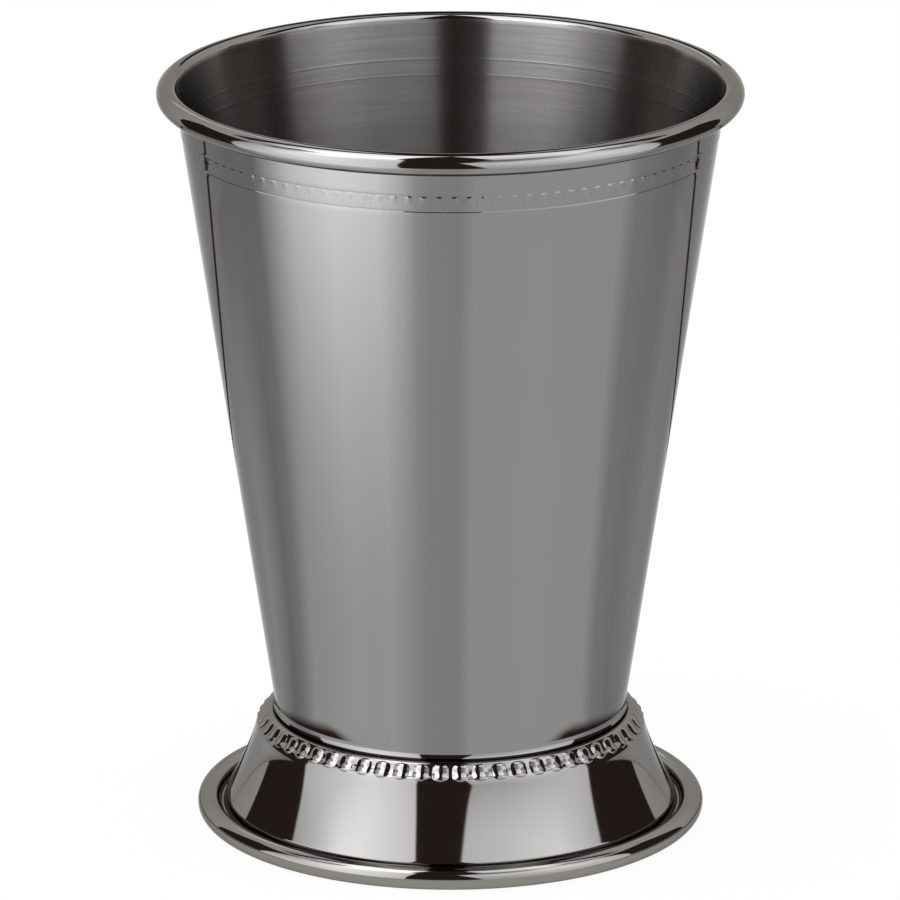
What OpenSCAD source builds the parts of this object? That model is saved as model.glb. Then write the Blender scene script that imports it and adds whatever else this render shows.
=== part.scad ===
// Julep cup: a tapered drinking cup of thin sheet metal, on a spun foot with a beaded shoulder.
// Millimetres, +Z up. The origin is the middle of the ring that the foot stands on.
// Every sheet metal piece is drawn as the path of one face of its sheet, in [radius, height, angle]
// steps, where the angle is the direction in which that face looks. The other face lies sheet_t behind.

/* [Cup] */
// Height from the table to the top of the lip
cup_h = 116; // [105:0.5:130]
// Outer diameter across the rolled lip
rim_d = 88.9; // [80:0.1:100]
// Outer diameter that the tapered wall would reach at the height of the cup's underside
wall_base_d = 51.5; // [49:0.1:53]
// Height of the cup's underside above the table
base_z = 9.6; // [7:0.1:11]
// Outer radius of the corner between the wall and the base
base_corner_r = 2.5; // [1.5:0.1:4]
// Thickness of the sheet that the cup and the foot are made of
sheet_t = 0.6; // [0.5:0.05:0.7]

/* [Lip] */
// How far the lip stands out from the line of the wall, level with the lip's top
lip_reach = 2.525; // [2.3:0.025:3]
// Outer radius of the curl that the lip ends in
curl_r = 1.7; // [1.3:0.05:1.9]
// Gap between the cut edge of the curl and the wall
curl_gap = 0.2; // [0.1:0.05:0.4]

/* [Rolled band] */
// Drop from the top of the lip to the upper edge of the band
band_drop = 6.95; // [5:0.05:12]
// Height of the band between its two fine lines
band_h = 2.45; // [1.5:0.05:4]
// How far the band swells from the wall
band_swell = 0.05; // [0.03:0.01:0.15]
// Width of each fine line along the band's edges
line_w = 0.35; // [0.2:0.05:0.5]
// Depth of each fine line
line_depth = 0.04; // [0.02:0.01:0.1]

/* [Foot] */
// Outer diameter across the rolled edge of the foot
foot_d = 78; // [76:0.1:84]
// Outer radius of the foot's rolled edge
foot_edge_r = 1.75; // [1.5:0.05:2.1]
// Width of the flat ring that the foot stands on
stand_w = 1.2; // [0.6:0.1:1.6]
// Height of the crest of the shoulder
shoulder_z = 16.8; // [16:0.05:20]
// Radius of the roll over the shoulder's crest
roll_r = 0.9; // [0.8:0.05:1.2]
// How far the roll goes on past its crest, down to the cup's wall
tuck_a = 53; // [40:1:60]
// Length of the sloping shelf that carries the beads
shelf_w = 2; // [1.9:0.05:2.4]
// Slope of the shelf below level
shelf_a = 48; // [42:1:52]
// Radius of the bend from the shelf into the neck
knee_r = 0.95; // [0.8:0.05:1.5]
// Slope of the neck away from plumb, where the flare starts
neck_a = 10; // [6:1:14]
// Slope of the flare away from plumb, where its toe starts to roll over
toe_a = 30; // [26:1:40]
// Radius of the toe's roll down into the groove
toe_r = 0.9; // [0.8:0.05:1.1]
// Slope of the groove's inner side away from plumb
groove_a = 6; // [4:1:12]
// Length of the straight stretch between the toe's roll and the groove
groove_drop = 1.1; // [0.8:0.05:1.3]
// Radius of the groove between the toe and the rolled edge
groove_r = 0.35; // [0.3:0.05:0.5]

/* [Beads] */
// Number of beads round the shoulder
bead_n = 60; // [40:1:60]
// Radius of a bead's foot on its strip
bead_foot_r = 0.95; // [0.7:0.05:0.95]
// Height of a bead above its strip
bead_h = 0.4; // [0.3:0.05:0.6]
// Thickness of the strip that joins the beads
strip_t = 0.1; // [0.08:0.01:0.2]

/* [Solder] */
// Gap between the edge of the tucked shoulder and the wall, which the solder fills
seat_gap = 0.1; // [0.05:0.01:0.3]
// Height of the solder on the wall, down from the shoulder's edge
fillet_h = 1.2; // [0.8:0.1:1.5]
// Height of the solder on the wall, up from the shoulder's edge
bright_h = 1.85; // [1.6:0.05:2.1]
// Radius of the hollow fillet that the solder shows above the shoulder
bright_r = 1.9; // [1.5:0.1:2.2]
// How far that fillet turns away from the wall
bright_a = 34; // [20:1:40]

/* [Hidden] */
$fn = 128;

// Steps of the round stretches: one step for each of these degrees, and a count for the flare
arc_step = 9;
flare_steps = 16;
swell_steps = 6;
bead_facets = 24;

// The wall's taper, and its two faces as radii over the height
wall_slope = (rim_d / 2 - lip_reach - wall_base_d / 2) / (cup_h - base_z);
wall_a = atan(wall_slope);
function wall_r(z) = wall_base_d / 2 + wall_slope * (z - base_z);
function wall_in_r(z) = wall_r(z) - sheet_t / cos(wall_a);

// The lip: a lead bend rises from the wall's inner face, and the curl goes on from its top
curl_x = rim_d / 2 - curl_r;
curl_z = cup_h - curl_r;
lead_r = (curl_x - wall_in_r(cup_h)) / (1 / cos(wall_a) - wall_slope);
curl_reach = (curl_x - wall_r(curl_z)) * cos(wall_a);
curl_end_a = -acos((curl_gap - curl_reach) / curl_r) - wall_a;

// The foot's edge, and the bead shelf's two ends
edge_x = foot_d / 2 - foot_edge_r;
edge_z = sqrt(foot_edge_r * foot_edge_r - stand_w * stand_w / 4);
stand_a = acos(stand_w / 2 / foot_edge_r);
edge_start_a = 175;
edge_end_a = -150;
shelf_face_a = 90 - shelf_a;
seat_z = shoulder_z - roll_r + roll_r * cos(tuck_a);
roll = [wall_r(seat_z) + seat_gap / cos(wall_a) + roll_r * sin(tuck_a), shoulder_z - roll_r];
shelf_top = roll + roll_r * toward(shelf_face_a);
shelf_end = shelf_top + shelf_w * toward(-shelf_a);
knee = shelf_end - knee_r * toward(shelf_face_a);

// The groove beside the rolled edge, and the toe's roll down into it
groove = [edge_x, edge_z] + (foot_edge_r + groove_r) * toward(edge_start_a);
toe = groove - (groove_r + toe_r) * toward(groove_a) + groove_drop * toward(90 + groove_a);

// The flare is a cubic curve, and these are its handles' lengths as shares of its height
flare_top_share = 0.29;
flare_toe_share = 0.37;
flare_top = knee + knee_r * toward(neck_a);
flare_toe = toe + toe_r * toward(toe_a);
flare_h = flare_top[1] - flare_toe[1];

// How far the solder's fillet follows the inner face of the roll
fillet_turn = 2 * arc_step;

metal = "#85827f";
solder_metal = "#6f6c68";

function toward(a) = [cos(a), sin(a)];

// A step at point p whose face looks in the direction a
function at(p, a) = [p[0], p[1], a];

// Steps round a bend of radius r about c, from direction a0 to a1. The face looks away from c,
// or at c where hollow is true.
function bend(c, r, a0, a1, hollow = false) =
    let (n = max(1, ceil(abs(a1 - a0) / arc_step)))
    [for (i = [0:n]) let (a = a0 + (a1 - a0) * i / n) at(c + r * toward(a), hollow ? a + 180 : a)];

// Steps along a cubic curve through p0 and p3, pulled by the handles p1 and p2. The face looks to its
// left when going from p0 to p3 downwards and out.
function curve_point(p, u) =
    pow(1 - u, 3) * p[0] + 3 * u * pow(1 - u, 2) * p[1] + 3 * u * u * (1 - u) * p[2] + u * u * u * p[3];
function curve_slope(p, u) =
    pow(1 - u, 2) * (p[1] - p[0]) + 2 * u * (1 - u) * (p[2] - p[1]) + u * u * (p[3] - p[2]);
function curve(p, n) =
    [for (i = [0:n]) let (u = i / n, d = curve_slope(p, u)) at(curve_point(p, u), atan2(d[0], -d[1]))];

// The far face of the sheet at a step
function behind(s) = [s[0] - sheet_t * cos(s[2]), s[1] - sheet_t * sin(s[2])];

// The section of a sheet whose near face follows the steps
module sheet(steps) {
    polygon(concat(
        [for (s = steps) [s[0], s[1]]],
        [for (i = [len(steps) - 1:-1:0]) behind(steps[i])]
    ));
}

// A step on the wall's inner face at height z, standing out by lift towards the outside
function wall_step(z, lift = 0) = at([wall_in_r(z), z] + lift * toward(-wall_a), 180 - wall_a);

// The band between its two fine lines: a groove, a low swell and a groove, bottom to top
function band_steps() =
    let (z1 = cup_h - band_drop, z0 = z1 - band_h, half = line_w / 2)
    concat(
        [wall_step(z0 - half), wall_step(z0, -line_depth)],
        [for (i = [0:swell_steps]) let (u = i / swell_steps)
            wall_step(z0 + half + (band_h - line_w) * u, band_swell * sin(180 * u))],
        [wall_step(z1, -line_depth), wall_step(z1 + half)]
    );

// The cup's inner face from the middle of the floor, round the corner, up the wall and over the lip
function cup_steps() =
    let (
        corner_z = base_z + base_corner_r,
        corner_x = wall_r(corner_z) - base_corner_r / cos(wall_a)
    )
    concat(
        [at([0, base_z + sheet_t], 90)],
        bend([corner_x, corner_z], base_corner_r - sheet_t, -90, -wall_a, hollow = true),
        band_steps(),
        bend([curl_x, cup_h - lead_r], lead_r, 180 - wall_a, 90),
        bend([curl_x, curl_z], curl_r, 90, curl_end_a)
    );

// The foot's upper face from the wall over the shoulder, down the shelf, the neck and the flare, over the
// toe into the groove and round the rolled edge
function foot_steps() =
    let (
        top_handle = flare_top + flare_h * flare_top_share * toward(neck_a - 90),
        toe_handle = flare_toe - flare_h * flare_toe_share * toward(toe_a - 90)
    )
    concat(
        bend(roll, roll_r, 90 + tuck_a, shelf_face_a),
        bend(knee, knee_r, shelf_face_a, neck_a),
        curve([flare_top, top_handle, toe_handle, flare_toe], flare_steps),
        bend(toe, toe_r, toe_a, groove_a),
        bend(groove, groove_r, 180 + groove_a, 180 + edge_start_a, hollow = true),
        bend([edge_x, edge_z], foot_edge_r, edge_start_a, -stand_a),
        bend([edge_x, edge_z], foot_edge_r, stand_a - 180, edge_end_a)
    );

// A tapered wall with a floor, drawn from one sheet, with a curled lip and a rolled band under it
module cup_body() {
    color(metal) rotate_extrude() sheet(cup_steps());
}

// A spun skirt whose shoulder closes round the cup, and whose edge is rolled
module foot() {
    color(metal) rotate_extrude() sheet(foot_steps());
}

// One bead: the cap of a ball, standing on its strip and reaching half way into it
module bead() {
    ball_r = (bead_foot_r * bead_foot_r + bead_h * bead_h) / (2 * bead_h);
    root = strip_t / 2;
    rotate_extrude($fn = bead_facets) intersection() {
        translate([0, bead_h - ball_r]) circle(ball_r, $fn = 2 * bead_facets);
        translate([0, -root]) square([bead_foot_r, bead_h + root]);
    }
}

// Beaded strip that lies on the foot's shelf
module bead_band() {
    rise = strip_t * toward(shelf_face_a);
    middle = shelf_top + shelf_w / 2 * toward(-shelf_a) + rise;
    color(metal) {
        rotate_extrude() polygon([shelf_top, shelf_end, shelf_end + rise, shelf_top + rise]);
        for (i = [0:bead_n - 1])
            rotate([0, 0, 360 * i / bead_n]) translate([middle[0], 0, middle[1]])
                rotate([0, shelf_a, 0]) bead();
    }
}

// Soft solder that fills the gap between the wall and the edge of the tucked shoulder. A fillet below it
// lies against the roll's inner face, and a hollow fillet above it leaves a crevice beside the shoulder.
module solder_ring() {
    seat = bend(roll, roll_r, 90 + tuck_a, 90 + tuck_a - fillet_turn);
    low_z = seat_z - fillet_h;
    top_z = seat_z + bright_h;
    hollow = [wall_r(top_z), top_z] + bright_r * toward(-wall_a);
    color(solder_metal) rotate_extrude() polygon(concat(
        [[wall_r(low_z), low_z]],
        [for (s = bend(hollow, bright_r, 180 - wall_a, 180 - wall_a + bright_a)) [s[0], s[1]]],
        [[seat[0][0], seat[0][1]]],
        [for (s = seat) behind(s)]
    ));
}

cup_body();
foot();
bead_band();
solder_ring();
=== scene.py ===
"""Julep cup in dark mirror plate: a tapered cup of thin sheet on a spun foot with a beaded shoulder.

Every sheet metal piece is the path of one face of its sheet, in steps of radius, height and facing
angle, turned about the Z axis. Lengths are metres, angles are degrees, and the frame is the CAD's.
"""

import logging
import math
from dataclasses import dataclass, field
from enum import Enum

import bpy
import numpy as np
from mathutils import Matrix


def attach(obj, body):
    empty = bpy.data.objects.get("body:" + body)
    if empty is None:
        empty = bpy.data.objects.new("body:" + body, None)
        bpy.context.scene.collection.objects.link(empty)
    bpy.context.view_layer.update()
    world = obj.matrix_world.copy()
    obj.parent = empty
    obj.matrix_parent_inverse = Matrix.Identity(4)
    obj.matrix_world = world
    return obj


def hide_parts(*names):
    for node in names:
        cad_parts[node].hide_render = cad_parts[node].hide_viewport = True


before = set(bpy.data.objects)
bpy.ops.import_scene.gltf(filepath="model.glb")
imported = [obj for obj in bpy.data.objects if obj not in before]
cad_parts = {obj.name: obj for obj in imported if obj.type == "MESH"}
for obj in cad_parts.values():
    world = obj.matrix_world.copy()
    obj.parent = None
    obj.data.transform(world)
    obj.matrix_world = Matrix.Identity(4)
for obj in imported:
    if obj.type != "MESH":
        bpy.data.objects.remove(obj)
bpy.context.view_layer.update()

log = logging.getLogger("julep_cup")
MM = 0.001
EDGE_TINT = (0.5, 0.49, 0.48, 1.0)
POLE_RADIUS = 1e-9
SHARP_FROM = math.radians(35)


class Face(Enum):
    """Which way the face of a bend looks: away from the bend's centre, or at it."""

    AWAY = 0.0
    INWARD = 180.0


def toward(angle: float | np.ndarray) -> np.ndarray:
    """Unit vectors in the radius and height plane: cos(angle), sin(angle)."""
    return np.stack([np.cos(np.radians(angle)), np.sin(np.radians(angle))], axis=-1)


def bend(
    centre: np.ndarray, radius: float, start: float, end: float, count: int, face: Face = Face.AWAY
) -> np.ndarray:
    """Steps round a bend: centre + radius * toward(angle), for angles from start to end.

    Args:
        centre: radius and height of the bend's centre.
        radius: radius of the bend.
        start: first angle.
        end: last angle.
        count: number of stretches.
        face: which way the face looks.

    Returns:
        Rows of radius, height and facing angle.
    """
    angle = np.linspace(start, end, count + 1)
    return np.column_stack([centre + radius * toward(angle), angle + face.value])


def flare(points: np.ndarray, count: int) -> np.ndarray:
    """Steps along the cubic curve of four points: sum of the points times Bernstein's weights.

    Args:
        points: start, first handle, second handle and end, as radius and height.
        count: number of stretches.

    Returns:
        Rows of radius, height and facing angle, the face being on the left of a path that runs
        outwards and down.
    """
    u = np.linspace(0.0, 1.0, count + 1)[:, None]
    place = (
        (1 - u) ** 3 * points[0]
        + 3 * u * (1 - u) ** 2 * points[1]
        + 3 * u**2 * (1 - u) * points[2]
        + u**3 * points[3]
    )
    slope = (
        (1 - u) ** 2 * (points[1] - points[0])
        + 2 * u * (1 - u) * (points[2] - points[1])
        + u**2 * (points[3] - points[2])
    )
    return np.column_stack([place, np.degrees(np.arctan2(slope[:, 0], -slope[:, 1]))])


def behind(steps: np.ndarray, thickness: float) -> np.ndarray:
    """The sheet's other face: each step's place minus thickness * toward(facing angle)."""
    return steps[:, :2] - thickness * toward(steps[:, 2])


def section(steps: np.ndarray, thickness: float) -> np.ndarray:
    """The outline of a sheet, other face first and then back along the steps' own face."""
    return np.concatenate([behind(steps, thickness), steps[::-1, :2]])


@dataclass
class Surface:
    """Points and faces of one closed surface, with the material index of each face."""

    points: np.ndarray
    faces: list[np.ndarray]
    finish: list[np.ndarray]

    def joined(self, other: "Surface") -> "Surface":
        """This surface and another in one mesh, the other's faces counted on from its points."""
        shift = len(self.points)
        return Surface(
            np.concatenate([self.points, other.points]),
            self.faces + [faces + shift for faces in other.faces],
            self.finish + other.finish,
        )


def turned(radius: np.ndarray, height: np.ndarray, finish: np.ndarray | None = None) -> Surface:
    """A closed surface round the Z axis: x = r cos(a), y = r sin(a), z = h, a = 360 deg * column / columns.

    Rows run along the section, columns run round the axis. Where the first and last rows have no
    radius they become poles, and elsewhere the last row closes onto the first.

    Args:
        radius: radius of each grid point.
        height: height of each grid point.
        finish: material index of each row of faces, or None for index 0 everywhere.

    Returns:
        The surface, its faces pointing to the right of the section's path.
    """
    rows, columns = radius.shape
    angle = np.linspace(0.0, 2 * math.pi, columns, endpoint=False)
    grid = np.stack([radius * np.cos(angle), radius * np.sin(angle), height], axis=-1)
    poles = radius[0, 0] < POLE_RADIUS and radius[-1, 0] < POLE_RADIUS
    body = grid[1:-1] if poles else grid
    count = len(body)
    index = np.arange(count * columns).reshape(count, columns)
    upper = index[1:] if poles else np.roll(index, -1, axis=0)
    lower = index[:-1] if poles else index
    right = np.roll(lower, -1, axis=1)
    quads = np.stack([lower, right, np.roll(upper, -1, axis=1), upper], axis=-1)
    rows_finish = np.zeros(rows, dtype=np.int32) if finish is None else finish
    points = body.reshape(-1, 3)
    if not poles:
        return Surface(points, [quads.reshape(-1, 4)], [np.repeat(rows_finish[:count], columns)])
    first, last = count * columns, count * columns + 1
    start = np.stack([np.full(columns, first), np.roll(index[0], -1), index[0]], axis=-1)
    end = np.stack([np.full(columns, last), index[-1], np.roll(index[-1], -1)], axis=-1)
    points = np.concatenate([points, grid[:1, 0], grid[-1:, 0]])
    return Surface(
        points,
        [quads.reshape(-1, 4), start, end],
        [
            np.repeat(rows_finish[1:count], columns),
            np.full(columns, rows_finish[0]),
            np.full(columns, rows_finish[-1]),
        ],
    )


def revolved(outline: np.ndarray, around: int, finish: np.ndarray | None = None) -> Surface:
    """The surface of one section turned about the Z axis in equal steps."""
    radius = np.repeat(outline[:, :1], around, axis=1)
    height = np.repeat(outline[:, 1:2], around, axis=1)
    return turned(radius, height, finish)


def make_mesh(name: str, surface: Surface) -> bpy.types.Object:
    """Puts a surface into a new, smooth-shaded mesh object at the origin.

    Args:
        name: name of the object.
        surface: its points and faces.

    Returns:
        The object, linked to the scene.
    """
    mesh = bpy.data.meshes.new(name)
    corners = np.concatenate([faces.ravel() for faces in surface.faces]).astype(np.int32)
    sides = np.concatenate([np.full(len(faces), faces.shape[1]) for faces in surface.faces])
    mesh.vertices.add(len(surface.points))
    mesh.vertices.foreach_set("co", surface.points.astype(np.float32).ravel())
    mesh.loops.add(len(corners))
    mesh.loops.foreach_set("vertex_index", corners)
    mesh.polygons.add(len(sides))
    starts = np.concatenate([[0], np.cumsum(sides)[:-1]]).astype(np.int32)
    mesh.polygons.foreach_set("loop_start", starts)
    mesh.polygons.foreach_set("material_index", np.concatenate(surface.finish).astype(np.int32))
    mesh.polygons.foreach_set("use_smooth", np.ones(len(sides), dtype=bool))
    mesh.update(calc_edges=True)
    mesh.set_sharp_from_angle(angle=SHARP_FROM)
    piece = bpy.data.objects.new(name, mesh)
    bpy.context.scene.collection.objects.link(piece)
    log.info("%s: %d faces", name, len(sides))
    return piece


def linear(colour: str) -> tuple[float, float, float, float]:
    """A hex sRGB colour as linear red, green, blue and alpha: c / 12.92 or ((c + 0.055) / 1.055) ** 2.4."""
    parts = [int(colour[i : i + 2], 16) / 255 for i in (1, 3, 5)]
    red, green, blue = (c / 12.92 if c <= 0.04045 else ((c + 0.055) / 1.055) ** 2.4 for c in parts)
    return red, green, blue, 1.0


def add(
    tree: bpy.types.NodeTree, kind: str, inputs: dict | None = None, **settings: object
) -> bpy.types.Node:
    """Adds one node with its settings, input values and links.

    Args:
        tree: the node tree.
        kind: the node's type name.
        inputs: value or linked output socket of each input, by name or number.
        settings: the node's own properties.

    Returns:
        The node.
    """
    node = tree.nodes.new(kind)
    for name, value in settings.items():
        setattr(node, name, value)
    for socket, value in (inputs or {}).items():
        if isinstance(value, bpy.types.NodeSocket):
            tree.links.new(value, node.inputs[socket])
        else:
            node.inputs[socket].default_value = value
    return node


def new_material(name: str) -> tuple[bpy.types.Material, bpy.types.NodeTree]:
    """An empty node material and its tree."""
    material = bpy.data.materials.new(name)
    material.use_nodes = True
    material.node_tree.nodes.clear()
    return material, material.node_tree


def noise(
    tree: bpy.types.NodeTree, place: bpy.types.NodeSocket, size_mm: float, detail: float
) -> bpy.types.NodeSocket:
    """Noise in lumps of one size: scale = 1 / size."""
    inputs = {"Vector": place, "Scale": 1 / (size_mm * MM), "Detail": detail}
    return add(tree, "ShaderNodeTexNoise", inputs).outputs["Fac"]


def maths(
    tree: bpy.types.NodeTree,
    operation: str,
    first: bpy.types.NodeSocket,
    second: bpy.types.NodeSocket | float,
) -> bpy.types.NodeSocket:
    """One operation on two numbers."""
    return add(tree, "ShaderNodeMath", {0: first, 1: second}, operation=operation).outputs[0]


def mixed(
    tree: bpy.types.NodeTree, share: bpy.types.NodeSocket, first: str, second: str
) -> bpy.types.NodeSocket:
    """The colour between two hex colours: first * (1 - share) + second * share."""
    inputs = {0: share, "A": linear(first), "B": linear(second)}
    return add(tree, "ShaderNodeMix", inputs, data_type="RGBA").outputs[2]


def embossed(
    tree: bpy.types.NodeTree, height: bpy.types.NodeSocket, depth_mm: float, strength: float = 1.0
) -> bpy.types.NodeSocket:
    """The facing of a surface whose relief is height * depth."""
    inputs = {"Height": height, "Distance": depth_mm * MM, "Strength": strength}
    return add(tree, "ShaderNodeBump", inputs).outputs["Normal"]


def metal(tree: bpy.types.NodeTree, inputs: dict) -> None:
    """Ends a tree in metal with the plate's edge tint and the other inputs given."""
    plate = {"Metallic": 1.0, "Specular Tint": EDGE_TINT}
    shader = add(tree, "ShaderNodeBsdfPrincipled", {**plate, **inputs})
    add(tree, "ShaderNodeOutputMaterial", {"Surface": shader.outputs[0]})


@dataclass(frozen=True)
class BlackNickelMirror:
    """Black nickel plate over buffed brass: a clean dark mirror, faintly warm, with fine buffing marks."""

    name: str = "gunmetal_mirror"
    tint: str = "#8A8783"
    cloud_tint: str = "#86837F"
    cloud_mm: float = 35.0
    cloud_detail: float = 2.0
    roughness: float = 0.05
    roughness_swing: float = 0.03
    mark_mm: float = 0.35
    mark_detail: float = 1.0
    mark_depth_mm: float = 0.0004
    mark_stretch_share: float = 0.04

    def material(self) -> bpy.types.Material:
        """Builds the node material."""
        material, tree = new_material(self.name)
        place = add(tree, "ShaderNodeTexCoord").outputs["Object"]
        cloud = noise(tree, place, self.cloud_mm, self.cloud_detail)
        colour = mixed(tree, cloud, self.tint, self.cloud_tint)
        swing = self.roughness_swing / 2
        levels = {"Value": cloud, "To Min": self.roughness - swing, "To Max": self.roughness + swing}
        gloss = add(tree, "ShaderNodeMapRange", levels).outputs["Result"]
        stretch = (self.mark_stretch_share, self.mark_stretch_share, 1.0)
        lines = add(tree, "ShaderNodeMapping", {"Vector": place, "Scale": stretch}).outputs[0]
        marks = noise(tree, lines, self.mark_mm, self.mark_detail)
        normal = embossed(tree, marks, self.mark_depth_mm)
        metal(tree, {"Base Color": colour, "Roughness": gloss, "Normal": normal})
        return material


@dataclass(frozen=True)
class BrushedNickel:
    """Black nickel over a wall brushed round and round: streaks along the turn, light smeared up and down."""

    name: str = "gunmetal_brushed"
    tint: str = "#827F7B"
    streak_tint: str = "#787470"
    streak_mm: float = 0.5
    streak_detail: float = 3.0
    streak_depth_mm: float = 0.002
    streak_stretch_share: float = 0.03
    ring_mm: float = 9.0
    ring_detail: float = 4.0
    faint_from: float = 0.12
    full_from: float = 0.42
    roughness: float = 0.27
    anisotropy: float = 1.0
    quarter_turn: float = 0.25

    def material(self) -> bpy.types.Material:
        """Builds the node material."""
        material, tree = new_material(self.name)
        place = add(tree, "ShaderNodeTexCoord").outputs["Object"]
        axes = add(tree, "ShaderNodeSeparateXYZ", {0: place})
        flat = add(tree, "ShaderNodeCombineXYZ", {"X": axes.outputs["X"], "Y": axes.outputs["Y"]})
        radius = add(tree, "ShaderNodeVectorMath", {0: flat.outputs[0]}, operation="LENGTH")
        run = maths(tree, "ADD", axes.outputs["Z"], radius.outputs["Value"])
        scaled = {0: flat.outputs[0], 3: self.streak_stretch_share}
        along = add(tree, "ShaderNodeVectorMath", scaled, operation="SCALE")
        turn = add(tree, "ShaderNodeSeparateXYZ", {0: along.outputs["Vector"]})
        streak_axes = {"X": turn.outputs["X"], "Y": turn.outputs["Y"], "Z": run}
        streak_place = add(tree, "ShaderNodeCombineXYZ", streak_axes).outputs[0]
        streaks = noise(tree, streak_place, self.streak_mm, self.streak_detail)
        rings = noise(tree, streak_place, self.ring_mm, self.ring_detail)
        both = maths(tree, "MULTIPLY", streaks, rings)
        levels = {"Value": both, "From Min": self.faint_from, "From Max": self.full_from}
        level = add(tree, "ShaderNodeMapRange", levels).outputs["Result"]
        colour = mixed(tree, level, self.streak_tint, self.tint)
        normal = embossed(tree, streaks, self.streak_depth_mm)
        lay = add(tree, "ShaderNodeTangent", direction_type="RADIAL", axis="Z").outputs[0]
        metal(
            tree,
            {
                "Base Color": colour,
                "Roughness": self.roughness,
                "Anisotropic": self.anisotropy,
                "Anisotropic Rotation": self.quarter_turn,
                "Tangent": lay,
                "Normal": normal,
            },
        )
        return material


@dataclass(frozen=True)
class PlatedSolder:
    """Soft solder under plate: dull grey, a little lumpy from cooling."""

    name: str = "plated_solder"
    tint: str = "#6F6C68"
    pit_tint: str = "#5A5753"
    grain_mm: float = 0.6
    grain_detail: float = 4.0
    grain_depth_mm: float = 0.03
    grain_strength: float = 0.6
    roughness: float = 0.45

    def material(self) -> bpy.types.Material:
        """Builds the node material."""
        material, tree = new_material(self.name)
        place = add(tree, "ShaderNodeTexCoord").outputs["Object"]
        grain = noise(tree, place, self.grain_mm, self.grain_detail)
        colour = mixed(tree, grain, self.pit_tint, self.tint)
        normal = embossed(tree, grain, self.grain_depth_mm, self.grain_strength)
        metal(tree, {"Base Color": colour, "Roughness": self.roughness, "Normal": normal})
        return material


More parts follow.
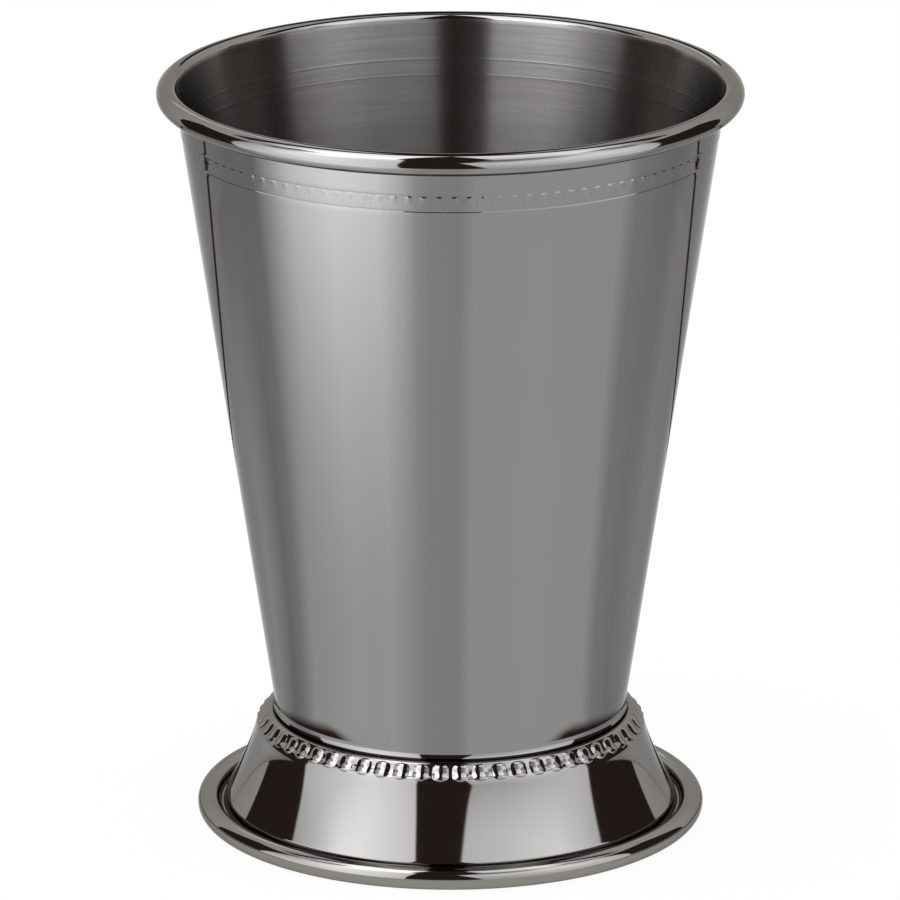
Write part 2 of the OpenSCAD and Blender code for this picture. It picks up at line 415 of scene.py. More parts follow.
@dataclass
class Cup:
    """The drawn cup: floor, tapered wall, rolled band and curled lip, all one sheet."""

    height: float = 116.0 * MM
    rim_radius: float = 44.45 * MM
    lip_reach: float = 2.525 * MM
    base_radius: float = 25.75 * MM
    base_z: float = 9.6 * MM
    corner_radius: float = 2.5 * MM
    sheet: float = 0.6 * MM
    curl_radius: float = 1.7 * MM
    curl_gap: float = 0.2 * MM
    band_drop: float = 6.95 * MM
    band_height: float = 2.45 * MM
    line_width: float = 0.35 * MM
    line_depth: float = 0.018 * MM
    brushed_lead: int = 6
    floor_rows: int = 9
    floor_ends: tuple[float, float] = (0.5 * MM, 0.1 * MM)
    corner_facets: int = 14
    corner_rows: tuple[float, float, float] = (0.1 * MM, 0.3 * MM, 0.8 * MM)
    corner_clear: float = 2.0 * MM
    wall_rows: int = 34
    band_clear: float = 1.0 * MM
    line_rows: int = 9
    line_clear: float = 0.4 * MM
    span_rows: int = 4
    lead_clear: float = 0.6 * MM
    lead_rows: tuple[float, float] = (0.2 * MM, 0.05 * MM)
    lead_facets: int = 18
    curl_facets: int = 44
    around: int = 256
    slope: float = field(init=False)
    lean: float = field(init=False)

    def __post_init__(self) -> None:
        """Works out the wall's taper from its two ends."""
        top = self.rim_radius - self.lip_reach
        self.slope = (top - self.base_radius) / (self.height - self.base_z)
        self.lean = math.degrees(math.atan(self.slope))

    def outer(self, z: float | np.ndarray) -> float | np.ndarray:
        """Radius of the wall's outer face: base radius + slope * height above the base."""
        return self.base_radius + self.slope * (z - self.base_z)

    def inner(self, z: float | np.ndarray) -> float | np.ndarray:
        """Radius of the wall's inner face: the outer radius less the sheet, cut level."""
        return self.outer(z) - self.sheet / math.cos(math.radians(self.lean))

    def band(self) -> tuple[float, float]:
        """Heights of the band's lower and upper lines."""
        top = self.height - self.band_drop
        return top - self.band_height, top

    def wall(self) -> np.ndarray:
        """Steps up the wall's inner face, sunk by depth * cos^2 of the distance across each fine line.

        The rows stand close together beside the two bends and the two lines, and wide apart elsewhere.
        """
        low, high = self.band()
        corner = self.base_z + self.corner_radius
        start = corner - (self.corner_radius - self.sheet) * math.sin(math.radians(self.lean))
        lead = self.height - self.lead_radius() * (1 - math.sin(math.radians(self.lean)))
        across = np.linspace(-0.5, 0.5, self.line_rows) * self.line_width
        z = np.concatenate(
            [
                start + np.array(self.corner_rows),
                np.linspace(start + self.corner_clear, low - self.band_clear, self.wall_rows),
                low + across,
                np.linspace(low + self.line_clear, high - self.line_clear, self.span_rows),
                high + across,
                np.linspace(high + self.lead_clear, lead - self.lead_clear, self.span_rows),
                lead - np.array(self.lead_rows),
            ]
        )
        reach = np.minimum(np.abs(z - low), np.abs(z - high)) / self.line_width
        sunk = np.where(reach < 0.5, self.line_depth * np.cos(math.pi * reach) ** 2, 0.0)
        place = np.column_stack([self.inner(z), z]) - sunk[:, None] * toward(-self.lean)
        return np.column_stack([place, np.full(len(z), 180 - self.lean)])

    def lead_radius(self) -> float:
        """Radius of the bend between the wall's inner face and the top of the lip."""
        top = self.rim_radius - self.curl_radius - self.inner(self.height)
        return top / (1 / math.cos(math.radians(self.lean)) - self.slope)

    def steps(self) -> tuple[np.ndarray, int]:
        """Steps along the inner face from the floor's middle to the curl's end.

        Returns:
            The steps, and how many of them belong to the brushed inside.
        """
        corner_z = self.base_z + self.corner_radius
        corner_x = self.outer(corner_z) - self.corner_radius / math.cos(math.radians(self.lean))
        floor_r = np.linspace(0.0, corner_x - self.floor_ends[0], self.floor_rows)
        floor_r = np.append(floor_r, corner_x - self.floor_ends[1])
        floor_z = np.full(len(floor_r), self.base_z + self.sheet)
        floor = np.column_stack([floor_r, floor_z, np.full(len(floor_r), 90.0)])
        curl_x = self.rim_radius - self.curl_radius
        curl_z = self.height - self.curl_radius
        lead = self.lead_radius()
        reach = (curl_x - self.outer(curl_z)) * math.cos(math.radians(self.lean))
        end = -math.degrees(math.acos((self.curl_gap - reach) / self.curl_radius)) - self.lean
        inside = [
            floor,
            bend(
                np.array([corner_x, corner_z]),
                self.corner_radius - self.sheet,
                -90,
                -self.lean,
                self.corner_facets,
                Face.INWARD,
            ),
            self.wall(),
        ]
        lip = [
            bend(np.array([curl_x, self.height - lead]), lead, 180 - self.lean, 90, self.lead_facets),
            bend(np.array([curl_x, curl_z]), self.curl_radius, 90, end, self.curl_facets)[1:],
        ]
        brushed = sum(len(part) for part in inside) + self.brushed_lead
        return np.concatenate(inside + lip), brushed

    def build(self, mirror: bpy.types.Material, brushed: bpy.types.Material) -> bpy.types.Object:
        """Builds the cup, brushed inside and mirror bright elsewhere."""
        steps, inside = self.steps()
        outline = section(steps, self.sheet)
        finish = np.zeros(len(outline), dtype=np.int32)
        finish[len(outline) - inside :] = 1
        piece = make_mesh("cup", revolved(outline, self.around, finish))
        piece.data.materials.append(mirror)
        piece.data.materials.append(brushed)
        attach(piece, "root")
        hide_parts("cup_body")
        return piece


@dataclass
class LipBeading:
    """The fine beading that is rolled into the wall between the band's two lines.

    Every bead is a low dome with a brow at its upper end: a short ledge that swells slowly and ends
    steeply, so that it looks up at the surroundings. Shares are of the row's pitch and height.
    """

    cup: Cup
    count: int = 115
    relief: float = 0.006 * MM
    height_share: float = 0.42
    width_share: float = 0.46
    brow: float = 0.034 * MM
    brow_width_share: float = 0.21
    brow_start: float = 0.0
    brow_crest: float = 0.365
    brow_end: float = 0.435
    reach_share: float = 0.46
    sink: float = 0.002 * MM
    root: float = 0.3 * MM
    facets: int = 16
    dome_rows: int = 9
    brow_rows: int = 5

    def build(self, mirror: bpy.types.Material) -> bpy.types.Object:
        """Builds the row: lift = relief * (1 - d^2) + brow * (1 - u^2) * ramp - sink, where d is the
        distance from a bead's middle over its half width and half height, and u is the distance across
        over the brow's half width. The back lies at -root, inside the wall."""
        low, high = self.cup.band()
        around = self.count * self.facets
        turn = (np.arange(around) % self.facets) / self.facets - 0.5
        dome = np.linspace(-self.reach_share, self.brow_crest, self.dome_rows, endpoint=False)
        brow = np.linspace(self.brow_crest, self.brow_end, self.brow_rows)
        up = np.concatenate([dome, brow, [self.reach_share]])
        across, rise = np.meshgrid(turn, up)
        distance = np.hypot(across / self.width_share, rise / self.height_share)
        ramp = np.interp(rise, [self.brow_start, self.brow_crest, self.brow_end], [0.0, 1.0, 0.0])
        ledge = self.brow * ramp * np.maximum(0.0, 1 - (across / self.brow_width_share) ** 2)
        lift = self.relief * np.maximum(0.0, 1 - distance**2) + ledge - self.sink
        lift = np.concatenate([lift, np.full((2, around), -self.root)])
        z = (low + high) / 2 + (high - low) * np.concatenate([rise, rise[[-1, 0]]])
        lean = math.radians(self.cup.lean)
        surface = turned(self.cup.outer(z) + lift * math.cos(lean), z - lift * math.sin(lean))
        piece = make_mesh("lip_beading", surface)
        piece.data.materials.append(mirror)
        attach(piece, "root")
        return piece


@dataclass
class Foot:
    """The spun foot: tucked shoulder, bead shelf, neck, flare, toe, groove and rolled edge, all one sheet."""

    cup: Cup
    radius: float = 39.0 * MM
    edge_radius: float = 1.75 * MM
    stand_width: float = 1.2 * MM
    shoulder_z: float = 16.8 * MM
    roll_radius: float = 0.9 * MM
    tuck: float = 53.0
    shelf_width: float = 2.0 * MM
    shelf_slope: float = 48.0
    knee_radius: float = 0.95 * MM
    neck_slope: float = 10.0
    toe_slope: float = 30.0
    toe_radius: float = 0.9 * MM
    groove_slope: float = 6.0
    groove_drop: float = 1.1 * MM
    groove_radius: float = 0.35 * MM
    edge_start: float = 175.0
    edge_end: float = -150.0
    top_handle_share: float = 0.29
    toe_handle_share: float = 0.37
    seat_gap: float = 0.1 * MM
    press_depth: float = 0.26 * MM
    press_half: float = 2.0 * MM
    bead_rise: float = 0.75 * MM
    roll_facets: int = 24
    shelf_rows: int = 10
    knee_facets: int = 12
    flare_rows: int = 72
    toe_facets: int = 12
    groove_facets: int = 22
    edge_facets: int = 56
    stand_rows: int = 6
    tail_facets: int = 10
    around: int = 320

    def shelf(self) -> tuple[np.ndarray, np.ndarray]:
        """Upper and lower end of the shelf that carries the beads."""
        top = self.roll() + self.roll_radius * toward(90 - self.shelf_slope)
        return top, top + self.shelf_width * toward(-self.shelf_slope)

    def roll(self) -> np.ndarray:
        """Centre of the shoulder's roll, whose tucked end stands a gap away from the cup's wall."""
        tuck = math.radians(self.tuck)
        low = self.shoulder_z - self.roll_radius
        seat = self.cup.outer(low + self.roll_radius * math.cos(tuck))
        gap = self.seat_gap / math.cos(math.radians(self.cup.lean))
        return np.array([seat + gap + self.roll_radius * math.sin(tuck), low])

    def top_steps(self) -> np.ndarray:
        """Steps from the cup's wall over the shoulder, down the shelf, the neck and the flare to the toe."""
        face = 90 - self.shelf_slope
        top, low = self.shelf()
        toe = self.toe()
        knee = low - self.knee_radius * toward(face)
        flare_top = knee + self.knee_radius * toward(self.neck_slope)
        flare_toe = toe + self.toe_radius * toward(self.toe_slope)
        drop = flare_top[1] - flare_toe[1]
        curve = np.array(
            [
                flare_top,
                flare_top + drop * self.top_handle_share * toward(self.neck_slope - 90),
                flare_toe - drop * self.toe_handle_share * toward(self.toe_slope - 90),
                flare_toe,
            ]
        )
        shelf = np.linspace(top, low, self.shelf_rows + 2)[1:-1]
        return np.concatenate(
            [
                bend(self.roll(), self.roll_radius, 90 + self.tuck, face, self.roll_facets),
                np.column_stack([shelf, np.full(self.shelf_rows, face)]),
                bend(knee, self.knee_radius, face, self.neck_slope, self.knee_facets),
                flare(curve, self.flare_rows)[1:-1],
                bend(toe, self.toe_radius, self.toe_slope, self.groove_slope, self.toe_facets),
            ]
        )

    def pressed(self) -> np.ndarray:
        """The top steps, sunk between the beads by depth * cos^2 of the distance from the row's middle."""
        steps = self.top_steps()
        run = self.run(steps)
        near = np.clip(np.abs(run - self.bead_run(steps)) / self.press_half, 0.0, 1.0)
        sunk = self.press_depth * np.cos(math.pi / 2 * near) ** 2
        steps[:, :2] -= sunk[:, None] * toward(steps[:, 2])
        return steps

    def run(self, steps: np.ndarray) -> np.ndarray:
        """Length of the path up to each step."""
        return np.concatenate([[0.0], np.cumsum(np.hypot(*np.diff(steps[:, :2], axis=0).T))])

    def bead_run(self, steps: np.ndarray) -> float:
        """Length of the path up to the middle of the beads, a little above the shelf's end."""
        gap = np.hypot(*(steps[:, :2] - self.shelf()[1]).T)
        return float(self.run(steps)[np.argmin(gap)]) - self.bead_rise

    def edge(self) -> np.ndarray:
        """Centre of the rolled edge."""
        return np.array(
            [
                self.radius - self.edge_radius,
                math.sqrt(self.edge_radius**2 - self.stand_width**2 / 4),
            ]
        )

    def groove(self) -> np.ndarray:
        """Centre of the groove beside the rolled edge."""
        return self.edge() + (self.edge_radius + self.groove_radius) * toward(self.edge_start)

    def toe(self) -> np.ndarray:
        """Centre of the toe's roll down into the groove."""
        back = (self.groove_radius + self.toe_radius) * toward(self.groove_slope)
        return self.groove() - back + self.groove_drop * toward(90 + self.groove_slope)

    def steps(self) -> np.ndarray:
        """Steps along the upper face, from the cup's wall over the shoulder and down to the edge's end."""
        edge = self.edge()
        stand = math.degrees(math.acos(self.stand_width / 2 / self.edge_radius))
        flat = edge + self.edge_radius * toward(np.array([-stand, stand - 180]))
        flat = np.linspace(flat[0], flat[1], self.stand_rows + 2)[1:-1]
        return np.concatenate(
            [
                self.pressed(),
                bend(
                    self.groove(),
                    self.groove_radius,
                    180 + self.groove_slope,
                    180 + self.edge_start,
                    self.groove_facets,
                    Face.INWARD,
                ),
                bend(edge, self.edge_radius, self.edge_start, -stand, self.edge_facets)[1:],
                np.column_stack([flat, np.full(self.stand_rows, -90.0)]),
                bend(edge, self.edge_radius, stand - 180, self.edge_end, self.tail_facets),
            ]
        )

    def build(self, mirror: bpy.types.Material) -> bpy.types.Object:
        """Builds the foot."""
        piece = make_mesh("spun_foot", revolved(section(self.steps(), self.cup.sheet), self.around))
        piece.data.materials.append(mirror)
        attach(piece, "root")
        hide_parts("foot")
        return piece


@dataclass
class BeadStrip:
    """The row of oval beads that lies over the foot's shelf, knee and neck."""

    foot: Foot
    count: int = 60
    half_width: float = 1.28 * MM
    half_height: float = 1.4 * MM
    relief: float = 0.26 * MM
    sink: float = 0.01 * MM
    root: float = 0.3 * MM
    reach_share: float = 1.04
    facets: int = 24
    rows: int = 28

    def build(self, mirror: bpy.types.Material) -> bpy.types.Object:
        """Builds the row: lift = relief * (1 - u^2 - v^4) - sink, with u and v the distances from a bead's
        middle over its half width and half height. The back lies at -root, inside the foot's sheet."""
        run = self.foot.run(self.foot.top_steps())
        middle = self.foot.bead_run(self.foot.top_steps())
        along = self.half_height * self.reach_share * np.linspace(-1.0, 1.0, self.rows)
        place = np.column_stack(
            [np.interp(along + middle, run, column) for column in self.foot.pressed().T]
        )
        around = self.count * self.facets
        pitch = 2 * math.pi / self.count
        across = ((np.arange(around) % self.facets) / self.facets - 0.5) * pitch
        u = across[None] * place[:, :1] / self.half_width
        v = along[:, None] / self.half_height
        lift = self.relief * np.maximum(0.0, 1 - u**2 - v**4) - self.sink
        lift = np.concatenate([lift, np.full((2, around), -self.root)])
        place = np.concatenate([place, place[[-1, 0]]])
        face = toward(place[:, 2])
        surface = turned(place[:, :1] + lift * face[:, :1], place[:, 1:2] + lift * face[:, 1:2])
        surface.faces = [part[:, ::-1] for part in surface.faces]
        piece = make_mesh("bead_row", surface)
        piece.data.materials.append(mirror)
        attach(piece, "root")
        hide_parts("bead_band")
        return piece


@dataclass
class Joint:
    """The solder between cup and foot: a bright hollow fillet above the shoulder, dull solder below."""

    foot: Foot
    low_height: float = 1.2 * MM
    bright_height: float = 1.85 * MM
    bright_radius: float = 1.9 * MM
    bright_turn: float = 34.0
    low_turn: float = 18.0
    seat_facets: int = 4
    wall_rows: int = 6
    fillet_facets: int = 16
    around: int = 256

    def build(self, mirror: bpy.types.Material, solder: bpy.types.Material) -> bpy.types.Object:
        """Builds the ring: up the wall, down the hollow fillet to the shoulder's edge, and under it."""
        foot, cup = self.foot, self.foot.cup
        tuck = 90 + foot.tuck
        seat = bend(foot.roll(), foot.roll_radius, tuck, tuck - self.low_turn, self.seat_facets)
        low, top = seat[0, 1] - self.low_height, seat[0, 1] + self.bright_height
        wall = np.linspace(low, top, self.wall_rows)
        wall = np.column_stack([cup.outer(wall), wall])
        hollow = wall[-1] + self.bright_radius * toward(-cup.lean)
        start = 180 - cup.lean
        end = start + self.bright_turn
        fillet = bend(hollow, self.bright_radius, start, end, self.fillet_facets)[1:, :2]
        outline = np.concatenate([wall, fillet, seat[:1, :2], behind(seat, cup.sheet)])[::-1]
        finish = np.ones(len(outline), dtype=np.int32)
        bright = len(seat) + 1
        finish[bright - 1 : bright + len(fillet)] = 0
        piece = make_mesh("solder_joint", revolved(outline, self.around, finish))
        piece.data.materials.append(mirror)
        piece.data.materials.append(solder)
        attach(piece, "root")
        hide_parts("solder_ring")
        return piece


@dataclass(frozen=True)
class StudioGlow:
    """Light of a studio sheet, with the glow attribute as its strength and its dark parts a warm brown."""

    name: str = "studio_glow"
    bright_tint: str = "#F5F9FF"
    dark_tint: str = "#FFD0B8"
    bright_from: float = 0.4

    def material(self) -> bpy.types.Material:
        """Builds the node material."""
        material, tree = new_material(self.name)
        glow = add(tree, "ShaderNodeAttribute", attribute_name="glow").outputs["Fac"]
        level = add(tree, "ShaderNodeMapRange", {"Value": glow, "From Max": self.bright_from})
        colour = mixed(tree, level.outputs["Result"], self.dark_tint, self.bright_tint)
        shader = add(tree, "ShaderNodeEmission", {"Color": colour, "Strength": glow})
        add(tree, "ShaderNodeOutputMaterial", {"Surface": shader.outputs[0]})
        material.cycles.emission_sampling = "NONE"
        return material


def hang(name: str, points: np.ndarray, glow: np.ndarray, material: bpy.types.Material) -> None:
    """Hangs a glowing sheet in the studio, seen only in reflections.

    Args:
        name: name of the sheet.
        points: grid of its points.
        glow: brightness at each point.
        material: the studio glow.
    """
    index = np.arange(glow.size).reshape(glow.shape)
    quads = np.stack([index[:-1, :-1], index[:-1, 1:], index[1:, 1:], index[1:, :-1]], axis=-1)
    quads = quads.reshape(-1, 4)
    surface = Surface(points.reshape(-1, 3), [quads], [np.zeros(len(quads), dtype=np.int32)])
    sheet = make_mesh(name, surface)
    layer = sheet.data.attributes.new("glow", "FLOAT", "POINT")
    layer.data.foreach_set("value", glow.ravel().astype(np.float32))
    sheet.data.materials.append(material)
    for ray in ("camera", "diffuse", "shadow", "transmission", "volume_scatter"):
        setattr(sheet, f"visible_{ray}", False)


@dataclass
class LightSheet:
    """A glowing studio sheet round the cup.

    It spans azimuths (0 in front, negative to the left) between two rims. Each stop holds its azimuth on
    the first and on the last rim, and its glow on the first and on the last rim. The glow changes between
    the two blend shares of the way from rim to rim, by that way raised to the power.
    """

    name: str
    first_rim: tuple[float, float]
    last_rim: tuple[float, float]
    stops: tuple[tuple[float, float, float, float], ...]
    blend: tuple[float, float] = (0.0, 1.0)
    power: float = 1.0
    centre_y: float = 0.0
    step: float = 0.5
    rows: int = 33

    def build(self, material: bpy.types.Material) -> None:
        """Builds the sheet: x = r sin(a), y = -r cos(a), and the stops drift from rim to rim."""
        first, last, first_glow, last_glow = np.array(self.stops).T
        start, end = min(first[0], last[0]), max(first[-1], last[-1])
        azimuth = np.linspace(start, end, int((end - start) / self.step) + 1)
        along = np.linspace(0.0, 1.0, self.rows)
        a, v = np.meshgrid(np.radians(azimuth), along)
        radius = self.first_rim[0] + (self.last_rim[0] - self.first_rim[0]) * v
        height = self.first_rim[1] + (self.last_rim[1] - self.first_rim[1]) * v
        points = np.stack([radius * np.sin(a), self.centre_y - radius * np.cos(a), height], axis=-1)
        share = np.clip((along - self.blend[0]) / (self.blend[1] - self.blend[0]), 0.0, 1.0) ** self.power
        glow = np.stack(
            [
                np.interp(azimuth, first + (last - first) * t, first_glow + (last_glow - first_glow) * u)
                for t, u in zip(along, share)
            ]
        )
        hang(self.name, points, glow, material)


@dataclass
class Card:
    """A flat card of even glow: four corners, two along one edge and two along the other."""

    name: str
    corners: tuple[tuple[float, float, float], ...]
    glow: float

    def build(self, material: bpy.types.Material) -> None:
        """Builds the card."""
        points = np.array(self.corners).reshape(2, 2, 3)
        hang(self.name, points, np.full((2, 2), self.glow), material)


@dataclass
class Studio:
    """Pale floor, white surroundings, soft lamp and the light sheets of a small tent.

    Lengths are metres from the middle of the cup's foot, and the lamp's turn is in degrees.
    """

    tent_radius: float = 0.26
    tent_height: float = 0.42
    wall_joint: float = 0.25
    foot_room: float = 0.045
    gap_radius: float = 0.34
    gap_height: float = 0.3
    roof_overhang: float = 0.1
    roof_back: float = 0.055
    back_radius: float = 0.5
    back_top: float = 1.2
    sheet_lift: float = 0.0004
    # Painted shadow of the foot: a dark ring on the floor between these radii, seen only in reflections.
    shade_from: float = 0.046
    shade_to: float = 0.056
    shade_lift: float = 0.0006
    seam_half: float = 0.3
    seam_back: float = 0.163
    seam_skew: float = 0.015
    seam_width: float = 0.011
    seam_lift: float = 0.0008
    strip_width: float = 0.09
    dark: float = 0.06
    floor_half: float = 6.0
    floor_lift: float = 0.94
    floor_tint: str = "#F4F4F4"
    white_tint: str = "#FFFFFF"
    lamp_place: tuple[float, float, float] = (-0.4, -0.3, 1.6)
    lamp_turn: tuple[float, float, float] = (-10.0, -14.0, 0.0)
    lamp_size: float = 1.2
    lamp_watts: float = 6.0
    lens_mm: float = 360.1
    film_mm: float = 36.0
    lens_shift: float = -0.0005
    near_clip: float = 0.01
    eye_back: float = 1.31589
    eye_height: float = 0.45691
    target_height: float = 0.05774

    def floor(self) -> None:
        """A plain pale floor that keeps the cup's soft shadow, lifted to white for what looks at it."""
        half = self.floor_half
        corners = np.array([[-half, -half, 0.0], [half, -half, 0.0], [half, half, 0.0], [-half, half, 0.0]])
        floor = make_mesh("floor", Surface(corners, [np.array([[0, 1, 2, 3]])], [np.zeros(1)]))
        material, tree = new_material("pale_floor")
        matt = add(tree, "ShaderNodeBsdfDiffuse", {"Color": linear(self.floor_tint)})
        white = add(tree, "ShaderNodeEmission", {"Color": linear(self.white_tint), "Strength": 1.0})
        path = add(tree, "ShaderNodeLightPath")
        seen = maths(tree, "MAXIMUM", path.outputs["Is Camera Ray"], path.outputs["Is Glossy Ray"])
        seen = maths(tree, "MAXIMUM", seen, path.outputs["Is Transmission Ray"])
        share = maths(tree, "MULTIPLY", seen, self.floor_lift)
        shader = add(tree, "ShaderNodeMixShader", {0: share, 1: matt.outputs[0], 2: white.outputs[0]})
        add(tree, "ShaderNodeOutputMaterial", {"Surface": shader.outputs[0]})
        floor.data.materials.append(material)

    def world(self) -> None:
        """White surroundings at strength 1."""
        world = bpy.data.worlds.new("studio")
        world.use_nodes = True
        background = world.node_tree.nodes["Background"]
        background.inputs["Color"].default_value = linear(self.white_tint)
        background.inputs["Strength"].default_value = 1.0
        bpy.context.scene.world = world

    def lamp(self) -> None:
        """One large soft lamp overhead, which only lights the floor."""
        data = bpy.data.lights.new("soft_lamp", "AREA")
        data.shape = "DISK"
        data.size = self.lamp_size
        data.energy = self.lamp_watts
        lamp = bpy.data.objects.new("soft_lamp", data)
        lamp.location = self.lamp_place
        lamp.rotation_euler = np.radians(self.lamp_turn)
        lamp.visible_glossy = False
        bpy.context.scene.collection.objects.link(lamp)

    def floor_sheets(self) -> list[LightSheet]:
        """The tent's floor, brighter towards the left wall, with a painted shadow of the foot (a dark patch
        close to it on each side), and the duller floor outside the tent."""
        radius, low, dark = self.tent_radius, self.sheet_lift, self.dark
        floor = (
            (-180, -180, 0.8, 0.85), (-150, -150, 1.0, 1.0), (-140, -140, 1.12, 0.9),
            (-130, -130, 1.15, 0.95), (-120, -120, 1.25, 0.66), (-110, -110, 0.95, 0.6),
            (-100, -100, 0.63, 0.57), (-90, -90, 0.73, 0.54), (-80, -80, 1.1, 1.25), (-70, -70, 1.12, 2.25),
            (-60, -60, 1.18, 2.73), (-50, -50, 1.25, 3.2), (-40, -40, 1.22, 3.15), (-30, -30, 1.25, 2.9),
            (-20, -20, 1.04, 1.96), (-14, -14, 0.92, 1.15), (-9, -9, 0.88, 0.93), (4, 4, 0.86, 0.85),
            (10, 10, 1.09, 1.07), (20, 20, 1.09, 1.1), (40, 40, 1.13, 1.12), (77, 77, 1.08, 1.07),
            (85, 85, 0.76, 0.74), (100, 100, 0.72, 0.66), (110, 110, 0.86, 0.65), (120, 120, 1.05, 0.9),
            (130, 130, 1.12, 1.0), (150, 150, 0.95, 0.9), (180, 180, 0.8, 0.85),
        )
        side_left = (
            (-150, -150, 1.1, 1.0), (-126, -126, 0.85, 0.8), (-105, -105, 0.55, 0.5), (-88, -88, 0.6, 0.55),
            (-76, -76, 0.7, 0.6),
        )
        side_right = (
            (76, 76, 0.8, 0.7), (89, 89, 0.7, 0.68), (110, 110, 0.63, 0.6), (126, 126, 0.9, 0.85),
            (150, 150, 1.1, 1.0),
        )
        # shade_left and shade_right are the painted shadow of the foot on the floor, dark sheets seen only in
        # reflections.
        shade_left = (
            (-146, -138, 0.5, 1.0), (-134, -128, dark, 1.15), (-120, -120, dark, 1.2),
            (-100, -100, dark, 0.63), (-90, -90, dark, 0.73), (-80, -80, dark, 1.1), (-41, -76, dark, 1.12),
            (-31, -66, 1.2, 1.2),
        )
        shade_right = (
            (31, 66, 1.12, 1.12), (41, 76, dark, 1.1), (79, 79, dark, 1.05), (85, 85, dark, 0.76),
            (100, 100, dark, 0.72), (120, 120, dark, 1.05), (134, 128, dark, 1.1), (146, 138, 0.5, 0.95),
        )
        near, wide = (self.foot_room, low), (self.gap_radius, low)
        shade_in, shade_out = (self.shade_from, self.shade_lift), (self.shade_to, self.shade_lift)
        return [
            LightSheet("tent_floor", near, (radius, low), floor, blend=(0.17, 0.95), power=1.45),
            LightSheet("shade_left", shade_in, shade_out, shade_left, blend=(0.7, 1.0)),
            LightSheet("shade_right", shade_in, shade_out, shade_right, blend=(0.7, 1.0)),
            LightSheet("floor_left", (radius, low), wide, side_left),
            LightSheet("floor_right", (radius, low), wide, side_right),
        ]

    def wall_sheets(self) -> list[LightSheet]:
        """The tent's walls in two heights, parted by the dark slit in front."""
        radius, dark = self.tent_radius, self.dark
        walls = (
            (-88, -83, dark, dark), (-87, -82, 1.7, 1.2), (-74, -72, 2.1, 1.9), (-60, -60, 2.4, 3.2),
            (-50, -50, 2.8, 3.3), (-42, -42, 2.9, 3.1), (-28, -28, 2.5, 2.6), (-19, -19, 2.1, 2.3),
            (-18, -18, dark, dark), (13, 3, dark, dark), (14, 4, 1.3, 1.9), (30, 30, 1.5, 2.2),
            (45, 45, 1.75, 2.5), (58, 58, 1.9, 2.7), (70, 70, 1.95, 2.3), (81, 80, 1.8, 1.6),
            (82, 81, dark, dark),
        )
        walls_high = (
            (-78, -76, dark, dark), (-76, -74, 0.3, 0.2), (-71, -71, 0.8, 0.6), (-65, -65, 2.2, 1.7),
            (-58, -58, 4.2, 4.4), (-50, -50, 4.5, 5.0), (-43, -43, 3.4, 4.2), (-35, -35, 2.8, 3.5),
            (-27, -27, 2.3, 3.1), (-19, -22, 2.1, 2.6), (-18, -21, dark, dark), (7, 17, dark, dark),
            (8, 18, 1.1, 0.5), (22, 23, 1.0, 0.5), (30, 30, 1.15, 0.7), (40, 40, 1.1, 0.95),
            (46, 46, 1.5, 1.3), (53, 53, 2.3, 2.2), (60, 60, 2.6, 2.3), (67, 67, 2.0, 1.5),
            (74, 74, 0.9, 0.5), (77, 75, 0.3, 0.2), (79, 77, dark, dark),
        )
        foot, joint, top = (radius, 0.0), (radius, self.wall_joint), (radius, self.tent_height)
        return [
            LightSheet("walls_low", foot, joint, walls, blend=(0.2, 0.6)),
            LightSheet("walls_high", joint, top, walls_high, blend=(0.0, 0.45)),
        ]

    def gap_sheets(self) -> list[LightSheet]:
        """The dark gaps at the left and right end of the walls."""
        dark = self.dark
        left = ((-121, -121, dark, dark), (-76, -76, dark, dark))
        right = ((76, 76, dark, dark), (121, 121, dark, dark))
        foot, top = (self.gap_radius, 0.0), (self.gap_radius, self.gap_height)
        return [LightSheet("gap_left", foot, top, left), LightSheet("gap_right", foot, top, right)]

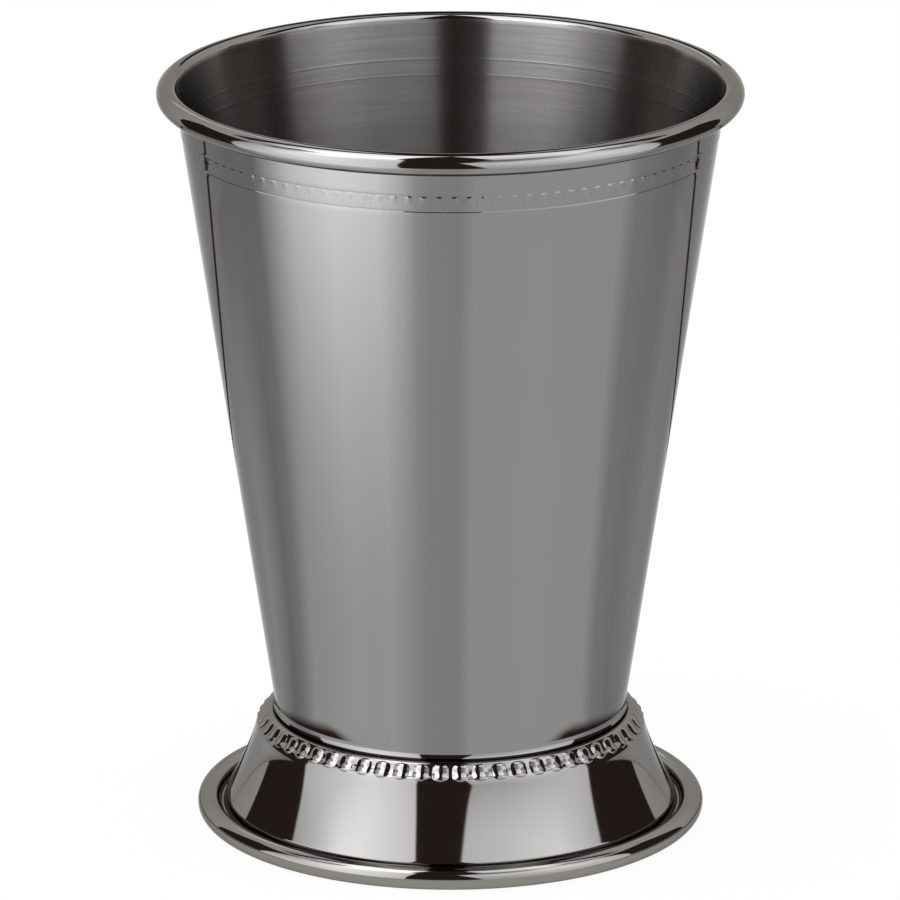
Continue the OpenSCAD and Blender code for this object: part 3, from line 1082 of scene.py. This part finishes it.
    def roof_sheets(self) -> list[LightSheet]:
        """The tent's roof, brightest over the front left, and the screen high up behind the cup."""
        height, dark = self.tent_height, self.dark
        roof = (
            (-90, -90, 1.2, 3.2), (-76, -76, 1.4, 3.6), (-68, -68, 3.4, 3.9), (-58, -58, 6.5, 3.9),
            (-50, -50, 7.2, 3.9), (-42, -42, 7.0, 3.9), (-30, -30, 6.2, 3.8), (-22, -19, 5.6, 3.6),
            (-21, -18, dark, dark), (17, 11, dark, dark), (18, 12, 1.2, 2.8), (30, 30, 1.7, 3.0),
            (45, 45, 2.6, 3.0), (55, 55, 3.9, 3.0), (68, 68, 2.8, 2.9), (76, 76, 1.3, 2.8),
            (90, 90, 1.1, 2.8),
        )
        back = (
            (158, 158, 1.2, 1.2), (168, 168, 1.2, 1.2), (171, 171, dark, dark), (189, 189, dark, dark),
            (192, 192, 2.0, 2.0), (202, 202, 2.0, 2.0),
        )
        eaves, ridge = (self.tent_radius + self.roof_overhang, height), (0.0, height)
        foot, top = (self.back_radius, self.gap_height), (self.back_radius, self.back_top)
        return [
            LightSheet("tent_roof", eaves, ridge, roof, blend=(0.1, 0.6), centre_y=self.roof_back),
            LightSheet("back_screen", foot, top, back),
        ]

    def cards(self) -> list[Card]:
        """The dark seam on the floor behind the cup, and the dark strip along the roof's back edge."""
        side, low = self.seam_half, self.seam_lift
        near, far = self.seam_back, self.seam_back + self.seam_width
        skew = self.seam_skew
        seam = ((-side, near, low), (side, near + skew, low), (-side, far, low), (side, far + skew, low))
        eaves, top = self.tent_radius + self.roof_overhang, self.tent_height
        near, far = self.roof_back, self.roof_back + self.strip_width
        strip = ((-eaves, near, top), (eaves, near, top), (-eaves, far, top), (eaves, far, top))
        return [Card("back_seam", seam, self.dark), Card("roof_strip", strip, self.dark)]

    def camera(self) -> None:
        """A long lens a little above the lip, looking down at the cup."""
        data = bpy.data.cameras.new("camera")
        data.sensor_width = self.film_mm
        data.lens = self.lens_mm
        data.shift_x = self.lens_shift
        data.clip_start = self.near_clip
        camera = bpy.data.objects.new("camera", data)
        camera.location = (0.0, -self.eye_back, self.eye_height)
        fall = math.atan2(self.eye_height - self.target_height, self.eye_back)
        camera.rotation_euler = (math.pi / 2 - fall, 0.0, 0.0)
        bpy.context.scene.collection.objects.link(camera)
        bpy.context.scene.camera = camera

    def build(self) -> None:
        """Sets up the whole studio."""
        self.floor()
        self.world()
        self.lamp()
        glow = StudioGlow().material()
        sheets = self.floor_sheets() + self.wall_sheets() + self.gap_sheets() + self.roof_sheets()
        for sheet in sheets + self.cards():
            sheet.build(glow)
        self.camera()
        bpy.context.scene.view_settings.view_transform = "Standard"


def main() -> None:
    """Builds the cup piece by piece, then the studio round it."""
    logging.basicConfig(level=logging.INFO, format="%(name)s: %(message)s")
    mirror = BlackNickelMirror().material()
    brushed = BrushedNickel().material()
    cup = Cup()
    cup.build(mirror, brushed)
    LipBeading(cup).build(mirror)
    foot = Foot(cup)
    foot.build(mirror)
    BeadStrip(foot).build(mirror)
    Joint(foot).build(mirror, PlatedSolder().material())
    Studio().build()


if __name__ == "__main__":
    main()
